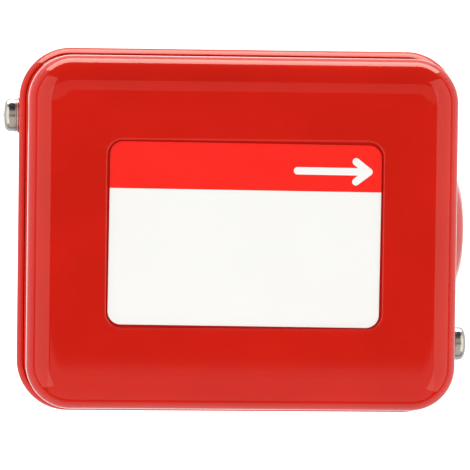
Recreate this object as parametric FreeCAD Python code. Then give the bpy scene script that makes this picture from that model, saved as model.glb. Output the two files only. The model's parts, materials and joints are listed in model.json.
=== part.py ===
import FreeCAD, Part
from FreeCAD import Vector
import math
import os

# Paddle flow switch: a brass pipe fitting carries a red sheet-steel housing with a lift-off cover.
# Flow pushes the paddle blades; the rod swings the lever frame, which lets go of a microswitch.
# Millimetres. The origin is on the pipe thread's axis, in the shoulder under the hexagon.
# +Z points up into the housing and +X points the way the flow runs.

# ---- Housing: base tray and cover ----
rim_length = 103.0          # outside of the tray along X
rim_width = 85.0            # outside of the tray along Y
rim_corner = 12.0           # outside corner radius of the tray, seen from above
tray_height = 42.0
tray_bend = 3.0             # outside radius between the tray's walls and floor
sheet = 1.2                 # thickness of the housing's steel
housing_shift = 12.0        # the housing's middle, downstream of the thread's axis
cover_gap = 0.2             # between the tray's rim and the cover's skirt
cover_overlap = 9.0         # how far the skirt reaches down inside the rim
cover_rise = 24.0           # how far the cover stands above the rim
cover_draft = 1.0           # degrees, the taper of the cover's walls above the rim
cover_edge = 8.0            # outside radius of the cover's top edge

# ---- Label ----
label_length = 62.5
label_width = 42.0
label_corner = 3.0
label_thickness = 0.25
label_turn = -0.4           # degrees, the label lies a little askew in its recess
recess_margin = 0.5
recess_depth = 0.8
recess_edge = 0.5           # outside radius of the recess's rim

# ---- Conduit entry, a domed boss on the downstream wall ----
boss_radius = 19.0
boss_height = 5.0
conduit_hole = 22.2         # diameter

# ---- Cover screws ----
cover_screw_size = 4.0
cover_screw_inset = 16.0    # from the side walls: one at +Y upstream, the other at -Y downstream
cover_screw_drop = 6.0      # below the rim
cover_head_diameter = 8.0
cover_head_height = 2.8
cover_washer_diameter = 8.4
cover_washer_thickness = 0.9
cover_nut_flats = 7.0
cover_nut_height = 3.0

# ---- Brass body ----
hex_flats = 36.0
hex_height = 13.0
spigot_diameter = 26.4      # R 3/4 pipe thread over its crests
spigot_length = 16.0
spigot_chamfer = 1.0
neck_diameter = 24.0
neck_length = 9.0           # above the hexagon
bore_diameter = 20.4        # lower bore, holds the bellows
upper_bore_diameter = 14.0
bore_step = 1.6             # the lower bore ends this far above the hexagon
gasket_diameter = 34.0
gasket_thickness = 1.0
locknut_flats = 30.0
locknut_height = 5.5

# ---- Bellows ----
bellows_outer = 13.0        # diameter over the crests
bellows_inner = 9.4         # diameter inside the roots
bellows_wall = 0.4
bellows_length = 22.0
bellows_folds = 7
fold_slope = 0.35           # each slope's share of a fold; the crest is flat
flange_thickness = 0.6
bellows_cap_thickness = 2.0

# ---- Rod and paddle ----
rod_diameter = 6.0
rod_thread = 5.0            # upper end, through the lever frame
rod_nut_flats = 8.0
rod_nut_height = 4.0
paddle_head_diameter = 9.0  # the rod's lower end, with a milled flat for the blades
paddle_head_collar = 4.0
paddle_seat_length = 13.0
rod_drop = 23.0             # from the shoulder down to the paddle head
blade_width = 20.0
blade_thickness = 0.4
long_blade = 70.0
middle_blade = 48.0
short_blade = 30.0
blade_corner = 4.0
paddle_screw_size = 4.0
paddle_screw_head = 8.0
paddle_head_height = 2.6
paddle_washer_diameter = 9.0
paddle_washer_thickness = 0.8

# ---- Bracket and lever frame ----
steel = 1.5                 # sheet of the bracket and the lever frame
bracket_width = 39.0        # over its side plates
base_start = -20.0          # upstream end of the bracket's base
base_end = 52.0             # downstream end of the bracket's base
pivot_height = 28.0         # the pivot's axis above the shoulder
pivot_diameter = 4.0
pivot_land = 5.6            # metal round the pivot in the bracket's side plates
pivot_head = 6.4            # diameter of the pins' riveted heads
pivot_head_height = 0.75
foot_spread = 5.0           # the side plates' foot beyond their column
knee_spread = 3.0           # the same at the height of the lever's web
lever_width = 31.0
lever_back = 7.2            # the cheeks' upstream end, from the pivot
cheek_rise = 4.8            # the cheeks above the pivot
tip_cheek = 3.6             # the cheeks above the tip plate's underside
lever_rest = 23.5           # underside of the lever's web above the shoulder
bridge_height = 62.0        # top of the bracket above the shoulder
spring_x = 13.0             # axis of the range spring
bridge_length = 16.0        # along X
stop_x = 20.5
stop_screw_size = 4.0
stop_nut_flats = 7.0
stop_nut_height = 3.2
tip_start = 30.0            # the lever's tip plate along X
tip_end = 37.0
rivet_x = 46.0
rivet_y = 14.0
rivet_diameter = 4.0
rivet_head = 7.2
rivet_head_height = 1.6

# ---- Range screw, spring nut and range spring ----
range_screw_size = 5.0
range_screw_end = 44.0      # lower end above the shoulder
range_screw_proud = 4.0     # above the bracket's top
range_screw_chamfer = 0.6
slot_width = 1.0            # screwdriver slot in the range screw
slot_depth = 1.5
collar_diameter = 10.0
collar_thickness = 1.2
clip_diameter = 9.0
clip_thickness = 0.8
clip_gap = 3.5
spring_nut_z = 50.0         # underside of the spring nut
spring_nut_length = 12.0
spring_nut_height = 4.0
guide_length = 6.0          # the nut's ears, along X
guide_proud = 1.0           # the ears beyond the side plates
guide_low = 44.0            # the guide slots' ends
guide_high = 58.0
spring_outer = 12.0
spring_wire = 1.4
spring_turns = 6
spigot_play = 0.5           # round the bosses that centre the spring
boss_rise = 1.6             # height of those bosses

# ---- Microswitch ----
switch_length = 27.8
switch_height = 15.9
switch_thickness = 10.3
switch_start = 27.0         # upstream end
switch_lift = 1.0           # clear of the bracket's base
switch_corner = 1.0
switch_groove = 0.4         # at the case's parting line
switch_hole_x = 22.2        # between its two fixing holes
switch_hole_z = 10.3
switch_screw_size = 3.0
switch_screw_head = 5.5
switch_screw_head_height = 1.9
insulator_thickness = 0.3
leaf_hinge_x = 50.0
leaf_start = 29.5
leaf_thickness = 0.4
leaf_width = 4.2
leaf_gap = 0.3              # between the lever's tip and the leaf
leaf_heel = 1.0             # the leaf behind its hinge
hinge_pin = 1.2             # diameter
lug_length = 2.8            # the ears that hold the hinge, along X
lug_thickness = 0.8
lug_rise = 1.6              # above the leaf's underside
plunger_x = 43.5
plunger_diameter = 2.6
plunger_rise = 0.9          # above the switch at rest
plunger_depth = 2.0         # its length inside the switch
plunger_well = 3.0          # depth of the hole that it slides in
plunger_chamfer = 0.4
tab_width = 6.3
tab_thickness = 0.8
tab_length = 7.0
tab_rise = 8.0              # middle of the tabs above the switch's underside
tab_inset = 1.0             # from the outer tabs' edges to the switch's ends
sleeve_length = 6.5
sleeve_wall = 0.9
sleeve_corner = 0.8
sleeve_gap = 1.0            # between the switch and the sleeves
wire_diameter = 2.2
wire_bend = 0.35            # a wire's bends lie this share of its span from its ends

# ---- Terminal block and earth screw ----
block_start = 15.0
block_ear = 6.5             # lowered end with a fixing screw
block_gap = 3.5             # between the bracket's side and the block
block_width = 13.0
block_height = 12.0
block_ear_height = 4.0
terminal_depth = 6.0        # depth of the terminal screws' holes
barrier_height = 4.0
barrier_thickness = 1.5
terminal_pitch = 9.5
terminal_screw_size = 4.0
terminal_screw_head = 7.0
terminal_head_height = 2.4
terminal_plate = 1.2
plate_gap = 0.5             # between a clamp plate and the barriers
block_screw_size = 3.0
block_screw_head = 5.5
block_screw_head_height = 2.1
earth_x = 50.0
earth_inset = 12.5          # from the tray's side wall
earth_screw_size = 4.0
earth_washer_diameter = 9.6
earth_washer_thickness = 1.0

# ---- Clearances ----
hole_play = 0.2             # radial, clearance holes for screws
running = 0.05              # radial, pins and screws that turn or slide in their holes
seat = 0.02                 # radial, riveted, soldered and screwed seats
reach = 1.0                 # how far a cutting tool runs past the face that it cuts
overlap = 0.1               # how far one cut runs into the next
near = 1e-4                 # lengths closer than this are equal

# ---- Forms of nuts and screws ----
nut_bevel = 30.0            # degrees, the slope of a nut's turned-down corners
flats_along_x = 30.0        # degrees, turns a nut so that two of its flats face along X
head_side = 0.45            # the straight side's share of a screw head's height

# ---- Levels and places that follow ----
floor_z = hex_height + gasket_thickness
floor_top = floor_z + sheet
base_top = floor_top + steel
rim_z = floor_z + tray_height
cover_top = rim_z + cover_rise
cover_bottom = rim_z - cover_overlap
cover_length = rim_length - 2 * (sheet + cover_gap)
cover_width = rim_width - 2 * (sheet + cover_gap)
cover_corner = rim_corner - sheet - cover_gap
wall_up = housing_shift - rim_length / 2       # outside of the upstream wall
wall_down = housing_shift + rim_length / 2     # outside of the downstream wall
boss_z = floor_z + tray_height / 2
cover_screw_y = rim_width / 2 - cover_screw_inset
cover_screw_z = rim_z - cover_screw_drop
earth_y = rim_width / 2 - earth_inset
block_inner_y = -bracket_width / 2 - block_gap  # the side that faces the switch
step_z = hex_height + bore_step
cap_z = step_z - bellows_length                # underside of the bellows' lower end
bridge_bottom = bridge_height - steel
side_inner = bracket_width / 2 - steel
switch_z = base_top + switch_lift
switch_top = switch_z + switch_height
leaf_z = switch_top + plunger_rise
tip_z = leaf_z + leaf_thickness + leaf_gap
stack = 3 * blade_thickness
block_length = 3 * terminal_pitch + barrier_thickness + 2 * block_ear
head_z = -rod_drop - paddle_head_collar        # where the milled flat begins


# ---- Shaping helpers ----
def box(x0, x1, y0, y1, z0, z1):
    """A block between two corners."""
    return Part.makeBox(x1 - x0, y1 - y0, z1 - z0, Vector(x0, y0, z0))


def rod(diameter, start, end):
    """A round bar from start to end."""
    run = end - start
    return Part.makeCylinder(diameter / 2, run.Length, start, run)


def upright(diameter, x, y, z0, z1):
    """A round bar that stands along Z."""
    return rod(diameter, Vector(x, y, z0), Vector(x, y, z1))


def rounded_wire(length, width, radius, z):
    """A level rectangle with round corners, about the housing's middle."""
    edges = []
    last = None
    for quarter in range(4):
        start = quarter * math.pi / 2
        side_x = 1 if quarter in (0, 3) else -1
        side_y = 1 if quarter in (0, 1) else -1
        centre = Vector(housing_shift + side_x * (length / 2 - radius), side_y * (width / 2 - radius), z)
        turns = [start, start + math.pi / 4, start + math.pi / 2]
        arc = [centre + Vector(math.cos(turn), math.sin(turn), 0) * radius for turn in turns]
        if last is not None:
            edges.append(Part.makeLine(last, arc[0]))
        edges.append(Part.Arc(*arc).toShape())
        last = arc[2]
    edges.append(Part.makeLine(last, edges[0].Vertexes[0].Point))
    return Part.Wire(edges)


def rounded_block(length, width, radius, z0, z1):
    """A block with round upright corners, about the housing's middle."""
    face = Part.Face(rounded_wire(length, width, radius, z0))
    return face.extrude(Vector(0, 0, z1 - z0))


def edges_at(shape, z):
    """The edges that lie wholly at the height z."""
    return [e for e in shape.Edges if abs(e.BoundBox.ZMin - z) < near and abs(e.BoundBox.ZMax - z) < near]


def hexagon(flats, x, y, z0, z1, turned=0.0):
    """A six-sided bar along Z; turned is the angle in degrees of its first corner from +X."""
    corners = []
    for side in range(7):
        angle = math.radians(60 * side + turned)
        corners.append(Vector(x, y, z0) + Vector(math.cos(angle), math.sin(angle), 0) * flats / math.sqrt(3))
    face = Part.Face(Part.makePolygon(corners))
    return face.extrude(Vector(0, 0, z1 - z0))


def nut(flats, hole, x, y, z0, z1, turned=0.0):
    """A hexagon nut along Z, with its corners turned down on both faces."""
    body = hexagon(flats, x, y, z0, z1, turned)
    corner = flats / math.sqrt(3)
    slope = math.tan(math.radians(nut_bevel))
    rim = flats / 2
    fall = (corner - rim + reach) * slope
    outline = [(0, z0), (rim, z0), (corner + reach, z0 + fall), (corner + reach, z1 - fall), (rim, z1), (0, z1)]
    body = body.common(turned_solid(outline, x, y))
    return body.cut(upright(hole, x, y, z0 - reach, z1 + reach))


def turned_solid(outline, x=0.0, y=0.0):
    """A solid turned about an upright axis, from (radius, height) points."""
    points = [Vector(x + radius, y, z) for radius, z in outline]
    face = Part.Face(Part.makePolygon(points + points[:1]))
    return face.revolve(Vector(x, y, 0), Vector(0, 0, 1), 360)


def screw(size, length, head, head_height, seat_point, direction):
    """A domed screw: the head stands back from seat_point and the shank runs along direction."""
    radius = head / 2
    side = head_height * head_side
    crown = head_height - side
    ball = (radius ** 2 + crown ** 2) / (2 * crown)
    half_turn = math.asin(radius / ball) / 2
    points = [Vector(0, 0, length), Vector(size / 2, 0, length), Vector(size / 2, 0, 0), Vector(radius, 0, 0),
              Vector(radius, 0, -side)]
    top = Vector(0, 0, -head_height)
    middle = top + Vector(ball * math.sin(half_turn), 0, ball * (1 - math.cos(half_turn)))
    edges = [Part.makeLine(points[i], points[i + 1]) for i in range(len(points) - 1)]
    edges.append(Part.Arc(points[-1], middle, top).toShape())
    edges.append(Part.makeLine(top, points[0]))
    body = Part.Face(Part.Wire(edges)).revolve(Vector(0, 0, 0), Vector(0, 0, 1), 360)
    body.Placement = FreeCAD.Placement(seat_point, FreeCAD.Rotation(Vector(0, 0, 1), direction))
    return body


def ring(outer, inner, start, end):
    """A flat ring from start to end."""
    past = (end - start).normalize() * reach
    return rod(outer, start, end).cut(rod(inner, start - past, end + past))


def soft_outline(points, radius):
    """A closed wire through (x, z) points in the XZ plane, with each corner rounded."""
    corners = [Vector(x, 0, z) for x, z in points]
    arcs = []
    for i, corner in enumerate(corners):
        to_last = (corners[i - 1] - corner).normalize()
        to_next = (corners[(i + 1) % len(corners)] - corner).normalize()
        half = to_last.getAngle(to_next) / 2
        back = radius / math.tan(half)
        middle = corner + (to_last + to_next).normalize() * (radius / math.sin(half) - radius)
        arcs.append(Part.Arc(corner + to_last * back, middle, corner + to_next * back).toShape())
    edges = []
    for i, arc in enumerate(arcs):
        edges.append(arc)
        end = arc.Vertexes[1].Point
        start = arcs[(i + 1) % len(arcs)].Vertexes[0].Point
        if end.distanceToPoint(start) > near:
            edges.append(Part.makeLine(end, start))
    return Part.Wire(edges)


def plate(points, radius, y0, y1):
    """An upright plate with the given (x, z) outline, from y0 to y1."""
    face = Part.Face(soft_outline(points, radius))
    face.translate(Vector(0, y0, 0))
    return face.extrude(Vector(0, y1 - y0, 0))


def on_both_sides(shape):
    """The shape and its mirror image across the XZ plane."""
    return [shape, shape.mirror(Vector(0, 0, 0), Vector(0, 1, 0))]


def wire_run(points, diameter):
    """A round wire along straight runs joined by arcs as large as the runs allow."""
    share = 0.45
    edges = []
    last = points[0]
    for i in range(1, len(points) - 1):
        back = points[i - 1] - points[i]
        ahead = points[i + 1] - points[i]
        short = share * min(back.Length, ahead.Length)
        back.normalize()
        ahead.normalize()
        half = back.getAngle(ahead) / 2
        radius = short * math.tan(half)
        middle = points[i] + (back + ahead).normalize() * (radius / math.sin(half) - radius)
        edges.append(Part.makeLine(last, points[i] + back * short))
        edges.append(Part.Arc(points[i] + back * short, middle, points[i] + ahead * short).toShape())
        last = points[i] + ahead * short
    edges.append(Part.makeLine(last, points[-1]))
    along = points[1] - points[0]
    section = Part.Wire([Part.makeCircle(diameter / 2, points[0], along)])
    return Part.Wire(edges).makePipeShell([section], True, False)


# ---- Housing ----
def base_tray():
    """The pressed tray: floor, walls, domed conduit boss and the holes."""
    tray = rounded_block(rim_length, rim_width, rim_corner, floor_z, rim_z)
    tray = tray.makeFillet(tray_bend, edges_at(tray, floor_z))
    hollow = rounded_block(rim_length - 2 * sheet, rim_width - 2 * sheet, rim_corner - sheet,
                           floor_top, rim_z + reach)
    hollow = hollow.makeFillet(tray_bend - sheet, edges_at(hollow, floor_top))
    dome_radius = (boss_radius ** 2 + boss_height ** 2) / (2 * boss_height)
    middle = Vector(wall_down + boss_height - dome_radius, 0, boss_z)
    dome_box = box(wall_down - sheet / 2, wall_down + boss_height + reach, -rim_width / 2, rim_width / 2,
                   floor_z, rim_z)
    dome = Part.makeSphere(dome_radius, middle).common(dome_box)
    hollow_box = box(wall_down - sheet - overlap, wall_down + boss_height + reach,
                     -rim_width / 2, rim_width / 2, floor_z, rim_z)
    dome_hollow = Part.makeSphere(dome_radius - sheet, middle).common(hollow_box)
    tray = tray.fuse(dome).cut(hollow).cut(dome_hollow)
    inside = wall_down - 2 * sheet
    outside = wall_down + boss_height + reach
    cuts = [rod(conduit_hole, Vector(inside, 0, boss_z), Vector(outside, 0, boss_z))]
    for side in cover_screw_sides():
        wall = housing_shift + side * rim_length / 2
        start = Vector(wall + side * reach, -side * cover_screw_y, cover_screw_z)
        end = Vector(wall - side * 2 * sheet, -side * cover_screw_y, cover_screw_z)
        cuts.append(rod(cover_screw_size + 2 * hole_play, start, end))
    cuts.append(upright(neck_diameter + 2 * hole_play, 0, 0, floor_z - reach, floor_top + reach))
    for x, y in rivet_places():
        cuts.append(upright(rivet_diameter + 2 * seat, x, y, floor_z - reach, floor_top + reach))
    for x, y in block_screw_places():
        cuts.append(upright(block_screw_size + 2 * seat, x, y, floor_z - reach, floor_top + reach))
    cuts.append(upright(earth_screw_size + 2 * seat, earth_x, earth_y, floor_z - reach, floor_top + reach))
    return tray.cut(cuts)


def cover_form(inset, top):
    """The cover's form drawn in by inset: a straight skirt, tapered walls and a round top edge."""
    fall = (top - rim_z) * math.tan(math.radians(cover_draft))
    levels = [(cover_bottom, 0), (rim_z, 0), (top, fall)]
    wires = []
    for z, narrower in levels:
        less = inset + narrower
        wires.append(rounded_wire(cover_length - 2 * less, cover_width - 2 * less, cover_corner - less, z))
    form = Part.makeLoft(wires, True, True)
    return form.makeFillet(cover_edge - inset, edges_at(form, top))


def cover():
    """The deep-drawn cover with its label recess and open notches round the cover screws."""
    recess_length = label_length + 2 * recess_margin
    recess_width = label_width + 2 * recess_margin
    recess_corner = label_corner + recess_margin
    recess = rounded_block(recess_length, recess_width, recess_corner, cover_top - recess_depth,
                           cover_top + reach)
    pad = rounded_block(recess_length + 2 * sheet, recess_width + 2 * sheet, recess_corner + sheet,
                        cover_top - recess_depth - sheet, cover_top)
    shell = cover_form(0, cover_top).cut(recess)
    rim = [e for e in edges_at(shell, cover_top) if e.BoundBox.XMin > housing_shift - recess_length / 2 - near
           and e.BoundBox.XMax < housing_shift + recess_length / 2 + near]
    shell = shell.makeFillet(recess_edge, rim)
    hollow = cover_form(sheet, cover_top - sheet).cut(pad)
    shell = shell.cut(hollow)
    notch = cover_screw_size + 4 * hole_play
    for side in cover_screw_sides():
        wall = housing_shift + side * cover_length / 2
        y = -side * cover_screw_y
        inside = wall - side * 2 * sheet
        outside = wall + side * reach
        shell = shell.cut(rod(notch, Vector(inside, y, cover_screw_z), Vector(outside, y, cover_screw_z)))
        shell = shell.cut(box(min(inside, outside), max(inside, outside), y - notch / 2, y + notch / 2,
                              cover_bottom - reach, cover_screw_z))
    return shell


def label_plate():
    """The label, a thin sheet on the floor of its recess."""
    bottom = cover_top - recess_depth
    sheet_form = rounded_block(label_length, label_width, label_corner, bottom, bottom + label_thickness)
    sheet_form.rotate(Vector(housing_shift, 0, 0), Vector(0, 0, 1), label_turn)
    return sheet_form


def cover_screw_sides():
    """-1 is the upstream wall and +1 the downstream wall; the screws lie diagonally opposite."""
    return (-1, 1)


def cover_fastener(start_out, end_out, diameter, hole):
    """Rings round both cover screws, between two distances outside the tray's walls."""
    rings = []
    for side in cover_screw_sides():
        wall = housing_shift + side * rim_length / 2
        y = -side * cover_screw_y
        start = Vector(wall + side * start_out, y, cover_screw_z)
        end = Vector(wall + side * end_out, y, cover_screw_z)
        rings.append(ring(diameter, hole, start, end))
    return Part.makeCompound(rings)


def cover_washers():
    """A washer under each screw's head."""
    return cover_fastener(0, cover_washer_thickness, cover_washer_diameter, cover_screw_size + 2 * hole_play)


def cover_nut_inset():
    """From the tray's outside to the nut's seat on the cover's inside."""
    return 2 * sheet + cover_gap


def cover_screws():
    """Two pan-head screws that clamp the skirt against the rim."""
    length = cover_washer_thickness + cover_nut_inset() + cover_nut_height
    bodies = []
    for side in cover_screw_sides():
        wall = housing_shift + side * rim_length / 2
        head = Vector(wall + side * cover_washer_thickness, -side * cover_screw_y, cover_screw_z)
        bodies.append(screw(cover_screw_size, length, cover_head_diameter, cover_head_height, head,
                            Vector(-side, 0, 0)))
    return Part.makeCompound(bodies)


def cover_nuts():
    """Hexagon nuts inside the skirt."""
    nuts = []
    for side in cover_screw_sides():
        one = nut(cover_nut_flats, cover_screw_size + 2 * seat, 0, 0, 0, cover_nut_height)
        wall = housing_shift + side * (rim_length / 2 - cover_nut_inset())
        place = Vector(wall, -side * cover_screw_y, cover_screw_z)
        one.Placement = FreeCAD.Placement(place, FreeCAD.Rotation(Vector(0, 0, 1), Vector(-side, 0, 0)))
        nuts.append(one)
    return Part.makeCompound(nuts)


# ---- Brass body ----
def brass_body():
    """Hexagon with pipe spigot below and threaded neck above, bored through in two steps."""
    shank = spigot_diameter / 2
    neck = neck_diameter / 2
    top = hex_height + neck_length
    outline = [(0, -spigot_length), (shank - spigot_chamfer, -spigot_length),
               (shank, spigot_chamfer - spigot_length), (shank, hex_height / 2), (neck, hex_height / 2),
               (neck, top - spigot_chamfer), (neck - spigot_chamfer, top), (0, top)]
    body = turned_solid(outline).fuse(nut(hex_flats, neck_diameter / 2, 0, 0, 0, hex_height))
    body = body.cut(upright(bore_diameter, 0, 0, -spigot_length - reach, step_z))
    return body.cut(upright(upper_bore_diameter, 0, 0, 0, top + reach))


def body_gasket():
    """Flat ring between the hexagon and the tray's floor."""
    return ring(gasket_diameter, neck_diameter + 2 * hole_play, Vector(0, 0, hex_height), Vector(0, 0, floor_z))


def locknut():
    """Clamps the bracket and the tray on the neck; its flats face along X."""
    return nut(locknut_flats, neck_diameter + 2 * seat, 0, 0, base_top, base_top + locknut_height,
               flats_along_x)


# ---- Bellows, rod and paddle ----
def bellows():
    """Folded metal tube, soldered by its flange under the step of the bore."""
    inner = bellows_inner / 2
    outer = bellows_outer / 2
    flange = bore_diameter / 2 - hole_play
    fold = (bellows_length - flange_thickness) / bellows_folds
    outside = []
    for i in range(bellows_folds):
        z = cap_z + i * fold
        outside += [(inner + bellows_wall, z), (outer, z + fold * fold_slope),
                    (outer, z + fold * (1 - fold_slope))]
    under_flange = step_z - flange_thickness
    inside = [(radius - bellows_wall, z) for radius, z in reversed(outside)]
    outline = outside + [(inner + bellows_wall, under_flange), (flange, under_flange), (flange, step_z),
                         (inner, step_z)] + inside
    return turned_solid(outline)


def bellows_cap():
    """Disc that closes the bellows' lower end on the rod."""
    return ring(bellows_outer, rod_diameter + 2 * seat, Vector(0, 0, cap_z - bellows_cap_thickness),
                Vector(0, 0, cap_z))


def paddle_rod():
    """Rod with a threaded upper end and, at its foot, a thicker head milled flat for the blades."""
    shoulder = lever_rest
    top = shoulder + steel + rod_thread
    stem = rod_diameter / 2
    thread = rod_thread / 2
    head = paddle_head_diameter / 2
    foot = head_z - paddle_seat_length
    cone = head - stem
    outline = [(0, foot), (head - cone / 2, foot), (head, foot + cone / 2), (head, -rod_drop - cone),
               (stem, -rod_drop), (stem, shoulder), (thread, shoulder), (thread, top), (0, top)]
    body = turned_solid(outline)
    flat = box(-head - reach, stack / 2, -head - reach, head + reach, foot - reach, head_z)
    hole = paddle_screw_size + 2 * seat
    return body.cut(flat).cut(rod(hole, Vector(0, 0, screw_level()), Vector(head + reach, 0, screw_level())))


def screw_level():
    """Height of the paddle screw, in the middle of the milled flat."""
    return head_z - paddle_seat_length / 2


def rod_nut():
    """Holds the rod in the lever's web."""
    bottom = lever_rest + steel
    return nut(rod_nut_flats, rod_thread + 2 * seat, 0, 0, bottom, bottom + rod_nut_height)


def corners_of(sheet_form):
    """A blade's short corner edges, which run along X."""
    return [e for e in sheet_form.Edges if abs(e.BoundBox.XLength - blade_thickness) < near
            and e.BoundBox.YLength < near and e.BoundBox.ZLength < near]


def blade(length, order):
    """A paddle blade; order counts from the rod's flat outwards."""
    x1 = stack / 2 - order * blade_thickness
    half = blade_width / 2
    top = head_z - hole_play
    bottom = top - length
    face = box(x1 - blade_thickness, x1, -half, half, bottom, top)
    face = face.makeFillet(blade_corner, [e for e in corners_of(face) if e.BoundBox.ZMax < bottom + near])
    face = face.makeChamfer(blade_corner, [e for e in corners_of(face) if e.BoundBox.ZMin > top - near])
    hole = paddle_screw_size + 2 * hole_play
    start = Vector(x1 - blade_thickness - reach, 0, screw_level())
    return face.cut(rod(hole, start, Vector(x1 + reach, 0, screw_level())))


def paddle_washer():
    """Washer between the screw's head and the long blade."""
    face = -stack / 2
    return ring(paddle_washer_diameter, paddle_screw_size + 2 * hole_play, Vector(face, 0, screw_level()),
                Vector(face - paddle_washer_thickness, 0, screw_level()))


def paddle_screw():
    """Screw from the upstream side through washer and blades into the rod."""
    seat_x = -stack / 2 - paddle_washer_thickness
    length = paddle_washer_thickness + stack + paddle_head_diameter / 2
    return screw(paddle_screw_size, length, paddle_screw_head, paddle_head_height,
                 Vector(seat_x, 0, screw_level()), Vector(1, 0, 0))


# ---- Bracket and lever frame ----
def rivet_places():
    """Both rivets of the bracket's downstream end."""
    return [(rivet_x, rivet_y), (rivet_x, -rivet_y)]


def mechanism_bracket():
    """Base, two side plates that carry the pivot, and the bridge that carries the range screw."""
    half = bracket_width / 2
    low = floor_top
    column_start = spring_x - bridge_length / 2
    column_end = spring_x + bridge_length / 2
    land = pivot_land
    side = [(-2 * land, low), (column_end + foot_spread, low), (column_end + knee_spread, lever_rest),
            (column_end, pivot_height + land), (column_end, bridge_height), (column_start, bridge_height),
            (column_start, pivot_height + 2 * land), (-land, pivot_height + land), (-2 * land, pivot_height)]
    plates = on_both_sides(plate(side, steel, side_inner, half))
    base = box(base_start, base_end, -half, half, low, base_top)
    bridge = box(column_start, column_end, -half, half, bridge_bottom, bridge_height)
    tab_y = switch_thickness / 2 + insulator_thickness
    tab_end = switch_start + switch_length
    tab = [(switch_start + steel, low), (tab_end - steel, low), (tab_end - steel, switch_top - steel),
           (switch_start + steel, switch_top - steel)]
    switch_tab = plate(tab, steel, tab_y, tab_y + steel)
    bracket = base.fuse(plates + [bridge, switch_tab])
    cuts = [upright(neck_diameter + 2 * hole_play, 0, 0, low - reach, base_top + reach),
            upright(range_screw_size + 2 * running, spring_x, 0, bridge_bottom - reach, bridge_height + reach),
            upright(stop_screw_size + 2 * seat, stop_x, 0, low - reach, base_top + reach),
            rod(pivot_diameter + 2 * seat, Vector(0, -half - reach, pivot_height),
                Vector(0, half + reach, pivot_height)),
            box(spring_x - guide_length / 2 - hole_play, spring_x + guide_length / 2 + hole_play,
                -half - reach, half + reach, guide_low, guide_high)]
    for x, y in rivet_places():
        cuts.append(upright(rivet_diameter + 2 * seat, x, y, low - reach, base_top + reach))
    for x, z in switch_holes():
        cuts.append(rod(switch_screw_size + 2 * seat, Vector(x, tab_y - reach, z),
                        Vector(x, tab_y + steel + reach, z)))
    return bracket.cut(cuts).removeSplitter()


def bracket_rivets():
    """Rivets through the bracket's base and the tray's floor, headed on both sides."""
    rivets = []
    for x, y in rivet_places():
        upper = screw(rivet_diameter, base_top - floor_z, rivet_head, rivet_head_height,
                      Vector(x, y, base_top), Vector(0, 0, -1))
        lower = screw(rivet_diameter, base_top - floor_z, rivet_head, rivet_head_height,
                      Vector(x, y, floor_z), Vector(0, 0, 1))
        rivets.append(upper.fuse(lower).removeSplitter())
    return Part.makeCompound(rivets)


def pivot_pins():
    """Two headed stub pins, riveted in the side plates, that the lever swings on."""
    half = bracket_width / 2
    inner = lever_width / 2 - 2 * steel
    pin = rod(pivot_diameter, Vector(0, inner, pivot_height), Vector(0, half, pivot_height))
    head = rod(pivot_head, Vector(0, half, pivot_height), Vector(0, half + pivot_head_height, pivot_height))
    return Part.makeCompound(on_both_sides(pin.fuse(head)))


def lever_frame():
    """The rocker: a web with a bent-up cheek on each side and a tip plate over the switch's leaf."""
    half = lever_width / 2
    web_end = stop_x + stop_screw_size
    top = pivot_height + cheek_rise
    back = -lever_back
    tip_top = tip_z + tip_cheek
    cheek = [(back, lever_rest), (web_end, lever_rest), (tip_end, tip_z), (tip_end, tip_top),
             (tip_start - steel, tip_top), (web_end - steel, top), (back, top)]
    cheeks = on_both_sides(plate(cheek, steel / 2, half - steel, half))
    web = box(back, web_end, -half, half, lever_rest, lever_rest + steel)
    tip = box(tip_start, tip_end, -half, half, tip_z, tip_z + steel)
    boss = upright(boss_diameter(), spring_x, 0, lever_rest + steel, lever_rest + steel + boss_rise)
    frame = web.fuse(cheeks + [tip, boss])
    holes = [upright(rod_thread + 2 * seat, 0, 0, lever_rest - reach, lever_rest + steel + reach),
             rod(pivot_diameter + 2 * running, Vector(0, -half - reach, pivot_height),
                 Vector(0, half + reach, pivot_height))]
    return frame.cut(holes).removeSplitter()


def boss_diameter():
    """Bosses on the lever and under the spring nut that centre the spring."""
    return spring_outer - 2 * spring_wire - 2 * spigot_play


def stop_screw():
    """Set screw whose rounded end holds the lever's web at rest."""
    radius = stop_screw_size / 2
    top = lever_rest
    tip = radius / 2
    outline = [(0, floor_top), (radius, floor_top), (radius, top - tip), (tip, top), (0, top)]
    return turned_solid(outline, stop_x, 0)


def stop_nut():
    """Locks the stop screw on the bracket's base."""
    return nut(stop_nut_flats, stop_screw_size + 2 * seat, stop_x, 0, base_top, base_top + stop_nut_height,
               flats_along_x)


# ---- Range screw, spring nut and spring ----
def range_screw():
    """Screw with a collar under the bridge and a slotted upper end."""
    top = bridge_height + range_screw_proud
    radius = range_screw_size / 2
    collar_low = bridge_bottom - collar_thickness
    chamfer = range_screw_chamfer
    outline = [(0, range_screw_end), (radius - chamfer, range_screw_end), (radius, range_screw_end + chamfer),
               (radius, collar_low), (collar_diameter / 2, collar_low), (collar_diameter / 2, bridge_bottom),
               (radius, bridge_bottom), (radius, top - chamfer), (radius - chamfer, top), (0, top)]
    slot = box(spring_x - radius - reach, spring_x + radius + reach, -slot_width / 2, slot_width / 2,
               top - slot_depth, top + reach)
    return turned_solid(outline, spring_x, 0).cut(slot)


def screw_clip():
    """Open ring on the range screw, above the bridge."""
    bottom = bridge_height
    clip = ring(clip_diameter, range_screw_size + 2 * seat, Vector(spring_x, 0, bottom),
                Vector(spring_x, 0, bottom + clip_thickness))
    return clip.cut(box(spring_x - clip_gap / 2, spring_x + clip_gap / 2, 0, clip_diameter, bottom - reach,
                        bottom + clip_thickness + reach))


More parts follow.
